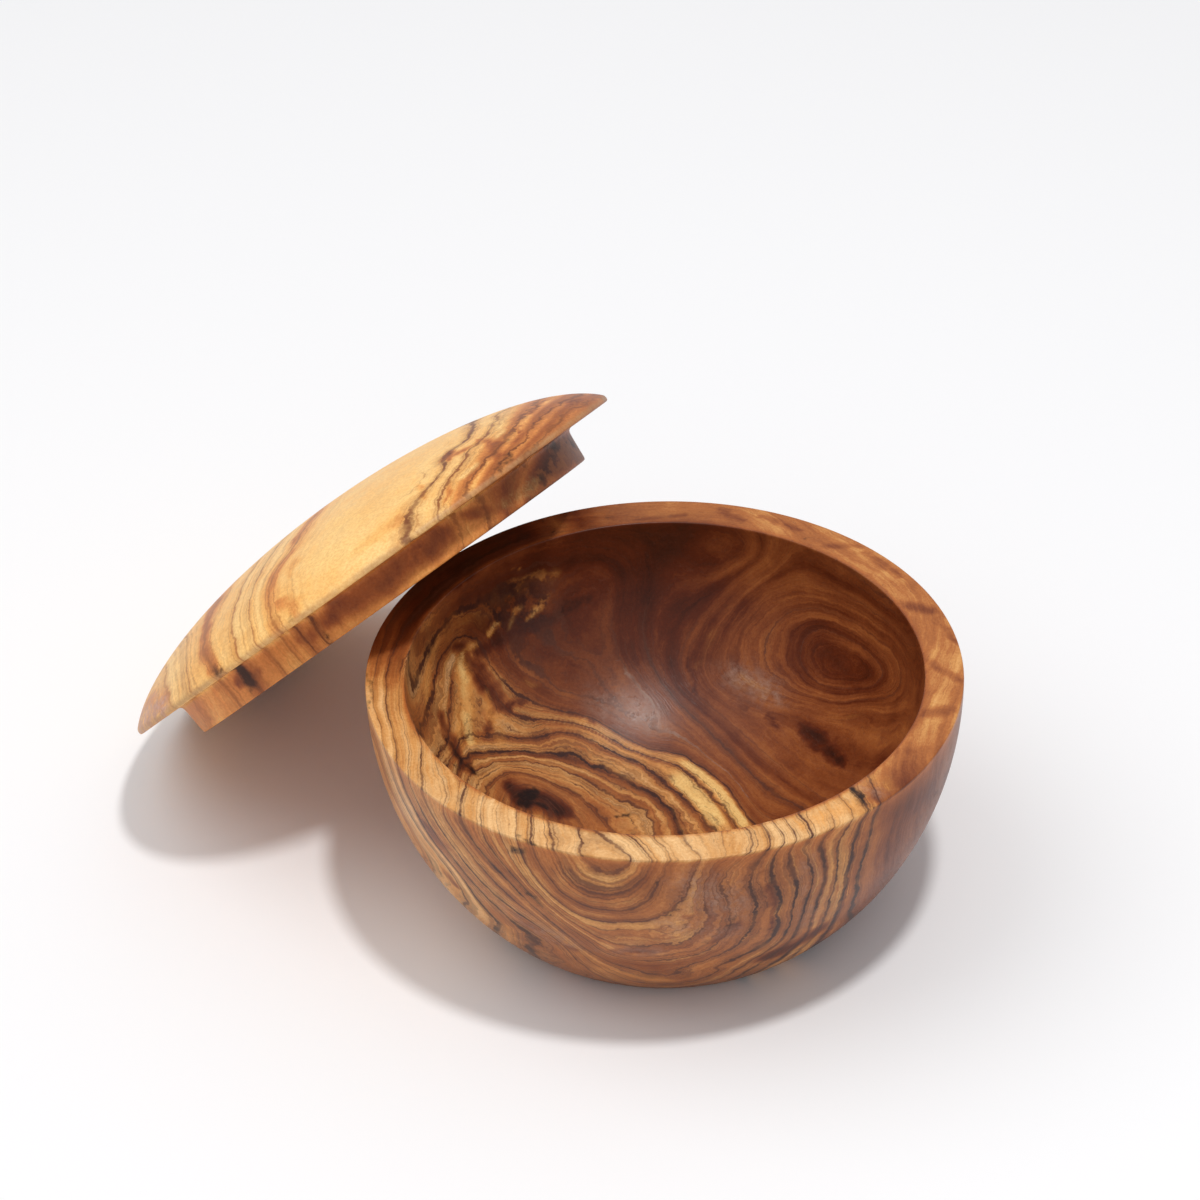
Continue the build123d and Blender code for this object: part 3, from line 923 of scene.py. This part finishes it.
# the plug's brown patches are partly darker wood and partly painted shade under the lid's edge
plugBrownAndShade = dict(
    leftPlain=(-104, 3, -92, 3, 4, 0.4),
    darkLeft=(-84, 3, -76, 3, 3, 1.1),
    darkMiddle=(-62, 3, -50, 3, 3.5, 1),
    middleBrown=(-52, 3, -18, 3, 6, 1.15),
    heartBrown=(-12, 2, -6, 3, 2.6, 1.05),
    rightBrown=(3, 3, 14, 4, 2.5, 0.6),
)
lidPink = dict(
    tip=(-8, -59, -36, -47, 5.5, 1.9),
)
lidKnots = dict(
    edgeKnot=(59.4, -6, 58.6, 1, 1.6, 0.65),
    edgeStart=(52.2, -29, 51.4, -26.5, 0.8, 0.4),
    wiggleKnot=(46, -4.5, 44.6, -1, 0.9, 0.6),
    leftRoot=(17, -57.5, 12, -57, 1.3, 0.8),
    leftRootTwo=(34, -49.5, 33, -48, 1.6, 0.5),
)
plugPale = dict(
    right=(-2, 4, 12, 5, 2.6, 0.4),
)
plugDarkMarks = dict(
    blackBand=(-79.8, -1, -79.9, 8.5, 2.2, 1.15),
    darkBand=(-56.5, 0.5, -56.6, 7, 1.2, 0.6),
    plugKnot=(12, 6.5, 14, 4.5, 1.5, 0.8),
    # a dark patch where the plug's wall meets the lid's underside, at 22 to 28 degrees
    plugEnd=(22, 0.5, 28, 1.5, 2.2, 0.75),
)

lidPith = dict(through=(-32, -70, -30), towards=(-0.55, 0.83, 0), ringWidth=6, bold=0.35)

# How brown, how finely lined and how wavy the lid is, as {ring: value}
lidCurves = dict(
    brownLevel={0: 0.25, 1: 0.12, 2.6: 0.14, 3: 0.5, 3.4: 0.16, 5.5: 0.12, 6: 0.42, 6.5: 0.26, 7.6: 0.1, 10.2:
        0.12, 10.8: 0.75, 11.2: 0.35, 11.6: 1.1, 12.2: 0.7, 12.6: 1.15, 13.2: 0.85, 16: 0.8},
    fine={0: 0.4, 2: 0.6, 6: 0.5, 6.8: 0, 9: 0, 10: 0.5, 11: 0.9, 16: 0.8},
    wavy={0: 0.25, 7: 0.25, 9: 0.9, 10.3: 1, 11.2: 2, 16: 2},
)


along, section, points, faces, sheet, where = turnPiece(*lidSection(lidSettings), lidSettings,
                                                        lidSettings["plugEnd"])
plugHeight = lidSettings["plugHeight"]
plugTopAlong = along[nearest(section, lidSettings["plugEnd"], -plugHeight)] + plugHeight
rootAlong = along[nearest(section, lidSettings["plugRoot"], 0)]
edgeAlong = along[np.argmax(section[:, 0] - 0.01 * section[:, 1])]
edgeTop = np.argmax(section[:, 0] + 0.01 * section[:, 1])
seenAbove, onWall = makePlacers(section, along, lidSettings["sheetGap"], edgeTop, plugTopAlong)
degreesToPlug = np.array([np.radians(lidSettings["plugEnd"]), 1])
lidLines = readLines((lidDome, seenAbove, 1), (lidPlug, onWall, degreesToPlug))
rings, boldness = growGrain(where, lidLines, lidPith)
# the plug is made browner, partly for darker wood and partly as painted shade under the lid's edge
plugHeart = lidSettings["plugHeart"] / (1 + np.exp((sheet - rootAlong) / lidSettings["plugBlend"]))
brown = paint(where, rings, (lidBrown, seenAbove), (plugBrownAndShade, onWall))
lid = makePiece("woodLid", leanLid(points, lidSettings), faces, {
    "ring": rings,
    "bold": boldness,
    "fine": curve(rings, lidCurves["fine"]),
    "brownLevel": np.maximum(curve(rings, lidCurves["brownLevel"]) + plugHeart, brown),
    "pale": paint(where, rings, (lidPale, seenAbove), (plugPale, onWall)),
    "grey": paint(where, rings, (lidPink, seenAbove)),
    "knot": paint(where, rings, (lidKnots, seenAbove), (plugDarkMarks, onWall)),
    "scar": np.zeros(len(rings)),
    "edge": np.exp(-((sheet - edgeAlong) / lidSettings["wornReach"]) ** 2),
    "wavy": curve(rings, lidCurves["wavy"]),
})


# Figure group: turns the ring into dark growth lines with a soft brown side, finer lines between them,
# steps of tone from one band to the next, long streaks that run with the rings, fibre, pores and speckle.
# Noises are given by their scale, per metre, and lines by how many a ring has
figureSettings = dict(
    wander=((110, 0.9), (420, 0.45), (1300, 0.25)),  # (scale, rings) that the lines stray
    breaks=180,
    uneven=240,
    halo=(3.2, 0.6),  # widths that a line's stain spreads, and its strength
    second=3.3,
    third=9,
    crowding=(1.9, 0.9),
    tone=34,
    fibre=150,
    pores=600,
    speckle=1700,
)


def buildFigureGroup(given):
    inputs = dict(Ring="Float", Bold="Float", Fine="Float", Place="Vector", Wander="Float", Width="Float",
                  Sharp="Float")
    outputs = ("Line", "Shade", "Thin", "Band", "Tone", "Fibre", "Pores", "Speckle", "Bent Ring")
    tree, source = startGroup("oliveFigure", inputs, {name: "Float" for name in outputs})
    sums, times, swing, stretch, blendColours, noise, luckOf = toolsFor(tree)
    place = source["Place"]
    wander = 0
    for scale, stray in given["wander"]:
        part = swing(noise(place, scale), stray)
        wander = sums("ADD", wander, part) if wander else part
    ring = sums("ADD", source["Ring"], times(wander, source["Wander"]))
    breaks = stretch(noise(place, given["breaks"], 3), 0.36, 0.6)
    uneven = stretch(noise(place, given["uneven"], 3), 0.3, 0.7, 0.5, 1.5, smooth=False)

    # one family of lines: how dark each point is, the brown side that fades away before each line, its luck
    # and the luck of the band between two lines; thin and thick are its widths, in parts of its spacing
    def lines(ring, count, shift, luckFrom, thin, thick, fade, useBold=False):
        counted = sums("ADD", times(ring, count), shift)
        whole = sums("ROUND", counted)
        past = sums("SUBTRACT", counted, whole)
        strength = stretch(luckOf(whole), luckFrom, 1)
        weight, most = (source["Bold"], 1.4) if useBold else (strength, 1)
        width = stretch(weight, 0.3, most, thin, thick, smooth=False)
        width = times(times(width, uneven), source["Width"])
        drawn = stretch(sums("ABSOLUTE", past), width, times(width, source["Sharp"]))
        side = stretch(past, -fade, 0.0, smooth=False)
        side = times(times(side, side), sums("LESS_THAN", past, 0.0))
        spread, stain = given["halo"]
        halo = stretch(sums("ABSOLUTE", past), times(width, spread), width)
        side = sums("MAXIMUM", side, times(halo, stain))
        return drawn, side, strength, luckOf(sums("FLOOR", counted))

    main, mainSide, _, mainBand = lines(ring, 1, 0, -1.0, 0.03, 0.22, 0.45, True)
    strength = times(stretch(source["Bold"], 0, 0.7), stretch(breaks, 0, 1, 0.65, 1))
    line = times(main, strength, clamp=True)
    # thinner lines keep the bold ones company, and the fine ones crowd together here and spread out there
    near, _, nearLuck, _ = lines(ring, 1, 0.17, -0.4, 0.02, 0.045, 0.2)
    far, _, farLuck, _ = lines(ring, 1, -0.24, -0.4, 0.025, 0.05, 0.2)
    company = sums("MAXIMUM", times(near, nearLuck), times(far, farLuck))
    company = times(company, times(strength, 0.8))
    scale, stray = given["crowding"]
    crowded = sums("ADD", ring, swing(noise(None, scale, 1, 0.5, "1D", along=ring), stray))
    second, secondSide, secondLuck, secondBand = lines(crowded, given["second"], 0.5, -0.2, 0.08, 0.2, 0.5)
    secondStrength = times(times(secondLuck, source["Fine"]), stretch(breaks, 0, 1, 0.35, 1))
    third, _, thirdLuck, _ = lines(crowded, given["third"], 0.25, 0.1, 0.18, 0.34, 0.4)
    thirdStrength = times(times(thirdLuck, 0.55), source["Fine"])
    thin = sums("MAXIMUM", times(second, secondStrength), times(third, thirdStrength))
    thin = sums("MAXIMUM", thin, company, clamp=True)
    shade = sums("MAXIMUM", times(mainSide, strength), times(secondSide, secondStrength))
    band = times(sums("ADD", swing(mainBand, 0.3), swing(secondBand, 0.22)),
                 stretch(source["Fine"], 0, 0.6, 0.25, 1))

    # a noise that changes slowly along a ring and faster across, so that it runs with the grain
    def streaks(scale, detail, roughness, across):
        return noise(place, scale, detail, roughness, "4D", along=times(ring, across))

    tone = streaks(given["tone"], 5, 0.62, 0.05)
    fibre = streaks(given["fibre"], 3, 0.6, 0.12)
    pores = stretch(streaks(given["pores"], 1, 0.5, 0.04), 0.6, 0.74)
    speckle = noise(place, given["speckle"], 2, 0.65)
    out = tree.nodes.new("NodeGroupOutput").inputs
    for name, value in zip(outputs, (line, shade, thin, band, tone, fibre, pores, speckle, ring)):
        tree.links.new(value, out[name])
    return tree


# Worn edge group: hands rub a turned edge to another tint, more in some places than in others
def buildEdgeGroup():
    inputs = dict(Color="Color", Edge="Float", Place="Vector", Tint="Color", Amount="Float")
    tree, source = startGroup("wornEdge", inputs, dict(Color="Color"))
    sums, times, swing, stretch, blendColours, noise, luckOf = toolsFor(tree)
    patchy = stretch(noise(source["Place"], 160, 3, 0.6), 0.3, 0.65, 0.35, 1)
    worn = times(times(source["Edge"], patchy), source["Amount"], clamp=True)
    out = tree.nodes.new("NodeGroupOutput").inputs
    tree.links.new(blendColours(worn, source["Color"], source["Tint"]), out["Color"])
    return tree


edgeGroup = buildEdgeGroup()
figureGroup = buildFigureGroup(figureSettings)

# Each wood's tones run from its sapwood to its darkest heartwood, by how brown the place is. On the bowl's back
# left and on the lid's plug the darker tones also carry painted shadow and shade
bowlWood = dict(
    tones={0: colour(242, 192, 132), 0.3: colour(218, 155, 88), 0.55: colour(182, 110, 56),
           0.9: colour(138, 73, 36), 1.2: colour(98, 41, 17), 1.6: colour(56, 22, 10)},
    gold=colour(240, 164, 80),
    pale=colour(255, 209, 130),
    # grey: burl, scratches and the scar, and also the painted sheen on the outside left and a painted highlight
    # inside
    grey=colour(168, 132, 112),
    thin=colour(96, 54, 38),
    line=colour(60, 34, 30),
    knot=colour(30, 17, 15),
    edge=colour(206, 120, 58),
    edgeAmount=0.55,
    toneSwing=1.4,
    bandSwing=1.0,
    lineWidth=1.0,
    lineSharp=0.35,
    pores=0.3,
    roughness=0.36,
    specular=0.3,
)
lidWood = dict(
    tones={0: colour(255, 208, 134), 0.3: colour(250, 188, 106), 0.55: colour(226, 146, 74),
           0.9: colour(176, 98, 48), 1.2: colour(124, 62, 34), 1.6: colour(70, 34, 20)},
    gold=colour(255, 206, 126),
    pale=colour(255, 222, 154),
    grey=colour(206, 156, 134),
    thin=colour(176, 106, 52),
    line=colour(122, 66, 34),
    knot=colour(56, 28, 18),
    edge=colour(190, 146, 102),
    edgeAmount=0.7,
    toneSwing=0.7,
    bandSwing=0.5,
    lineWidth=1.1,
    lineSharp=0.15,
    pores=0.06,
    roughness=0.45,
    specular=0.25,
)
# What both woods share: noise scales, per metre, and how strongly each layer covers the ones below it
layerSettings = dict(
    blotches=130,
    mottle=520,
    knots=450,
    paleCover=0.9,
    greyCover=0.85,
    shadeCover=0.6,
    thinCover=0.8,
    lineCover=0.95,
    knotCover=0.94,
    redder=0.6,
    bluer=1.5,
    bumpStrength=0.15,
    bumpDistance=0.0002,
)


def makeWood(name, settings, layers):
    wood = bpy.data.materials.new(name)
    wood.use_nodes = True
    tree = wood.node_tree
    sums, times, swing, stretch, blendColours, noise, luckOf = toolsFor(tree)
    shader = tree.nodes["Principled BSDF"]
    place = addNode(tree, "ShaderNodeTexCoord").outputs["Object"]
    read = {key: addNode(tree, "ShaderNodeAttribute", {"attribute_name": key}).outputs["Fac"]
            for key in ("ring", "bold", "fine", "brownLevel", "pale", "grey", "knot", "scar", "edge", "wavy")}
    figure = addNode(tree, "ShaderNodeGroup", {"node_tree": figureGroup}, Ring=read["ring"], Bold=read["bold"],
                     Fine=read["fine"], Place=place, Width=settings["lineWidth"],
                     Wander=stretch(read["wavy"], 0, 2, 0.28, 1.3, smooth=False),
                     Sharp=settings["lineSharp"]).outputs

    # the ground: a brownness that moves along the row of tones
    toned = times(swing(figure["Tone"], settings["toneSwing"]),
                  stretch(read["wavy"], 0, 1, 0.6, 1, smooth=False))
    toned = sums("ADD", read["brownLevel"], toned)
    for part in (swing(noise(place, layers["blotches"], 3, 0.6), 0.5), swing(figure["Fibre"], 0.5),
                 times(figure["Band"], settings["bandSwing"])):
        toned = sums("ADD", toned, part)
    darkest = max(settings["tones"])
    ramp = addNode(tree, "ShaderNodeValToRGB", Fac=sums("DIVIDE", toned, darkest, clamp=True))
    stops = ramp.color_ramp.elements
    while len(stops) < len(settings["tones"]):
        stops.new(0.5)
    for stop, (brown, tint) in zip(stops, settings["tones"].items()):
        stop.position = brown / darkest
        stop.color = tint
    base = ramp.outputs["Color"]

    def cover(base, mask, tint):
        return blendColours(mask, base, tint)

    # pale and grey patches, broken up by the grain; on the bowl some grey also stands for painted sheen and a
    # painted highlight
    broken = sums("ADD", swing(figure["Tone"], 0.8), swing(figure["Fibre"], 0.5))
    paled = sums("ADD", read["pale"], broken)
    paleTint = blendColours(stretch(read["pale"], 0.45, 0.95), settings["gold"], settings["pale"])
    base = cover(base, times(stretch(paled, 0.15, 0.9), layers["paleCover"]), paleTint)
    mottle = stretch(noise(place, layers["mottle"], 5, 0.7), 0.3, 0.7)
    base = cover(base, times(times(read["grey"], mottle), layers["greyCover"]), settings["grey"])
    # growth lines: thin ones are brown, bold ones nearly black, and the scar runs along one ring
    lineTint = blendColours(stretch(read["bold"], 0.5, 0.95), settings["thin"], settings["line"])
    base = cover(base, times(figure["Shade"], layers["shadeCover"]), settings["thin"])
    base = cover(base, times(figure["Thin"], layers["thinCover"]), settings["thin"])
    base = cover(base, times(figure["Line"], layers["lineCover"], clamp=True), lineTint)
    scarLine = sums("ABSOLUTE", sums("SUBTRACT", figure["Bent Ring"], scarRing))
    base = cover(base, times(stretch(scarLine, 0.07, 0.02), read["scar"]), settings["grey"])
    base = addNode(tree, "ShaderNodeGroup", {"node_tree": edgeGroup}, Color=base, Edge=read["edge"],
                   Place=place, Tint=settings["edge"], Amount=settings["edgeAmount"]).outputs["Color"]
    knotted = sums("ADD", read["knot"], swing(noise(place, layers["knots"], 4, 0.65), 1.5))
    base = cover(base, times(stretch(knotted, 0.25, 0.95), layers["knotCover"]), settings["knot"])
    base = cover(base, times(figure["Pores"], settings["pores"]), settings["thin"])
    fleck = times(stretch(figure["Fibre"], 0.3, 0.7, 0.9, 1.08),
                  stretch(figure["Speckle"], 0.3, 0.7, 0.88, 1.1))
    # a darker fleck is also redder, as oiled wood is
    fleckColour = addNode(tree, "ShaderNodeCombineColor", Red=sums("POWER", fleck, layers["redder"]),
                          Green=fleck, Blue=sums("POWER", fleck, layers["bluer"])).outputs[0]
    base = blendColours(1.0, base, fleckColour, "MULTIPLY")
    tree.links.new(base, shader.inputs["Base Color"])
    uneven = sums("ADD", swing(figure["Fibre"], 0.2), swing(figure["Speckle"], 0.15))
    tree.links.new(sums("ADD", settings["roughness"], uneven), shader.inputs["Roughness"])
    shader.inputs["Specular IOR Level"].default_value = settings["specular"]
    height = sums("SUBTRACT", figure["Fibre"], times(figure["Pores"], 0.6))
    bumps = addNode(tree, "ShaderNodeBump", Strength=layers["bumpStrength"], Distance=layers["bumpDistance"],
                    Height=height)
    tree.links.new(bumps.outputs["Normal"], shader.inputs["Normal"])
    return wood


bowl.data.materials.append(makeWood("bowlOlive", bowlWood, layerSettings))
lid.data.materials.append(makeWood("lidOlive", lidWood, layerSettings))
print("materials made")

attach(bowl, "bowl")
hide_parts("bowl")
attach(lid, "lid")
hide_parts("lid")
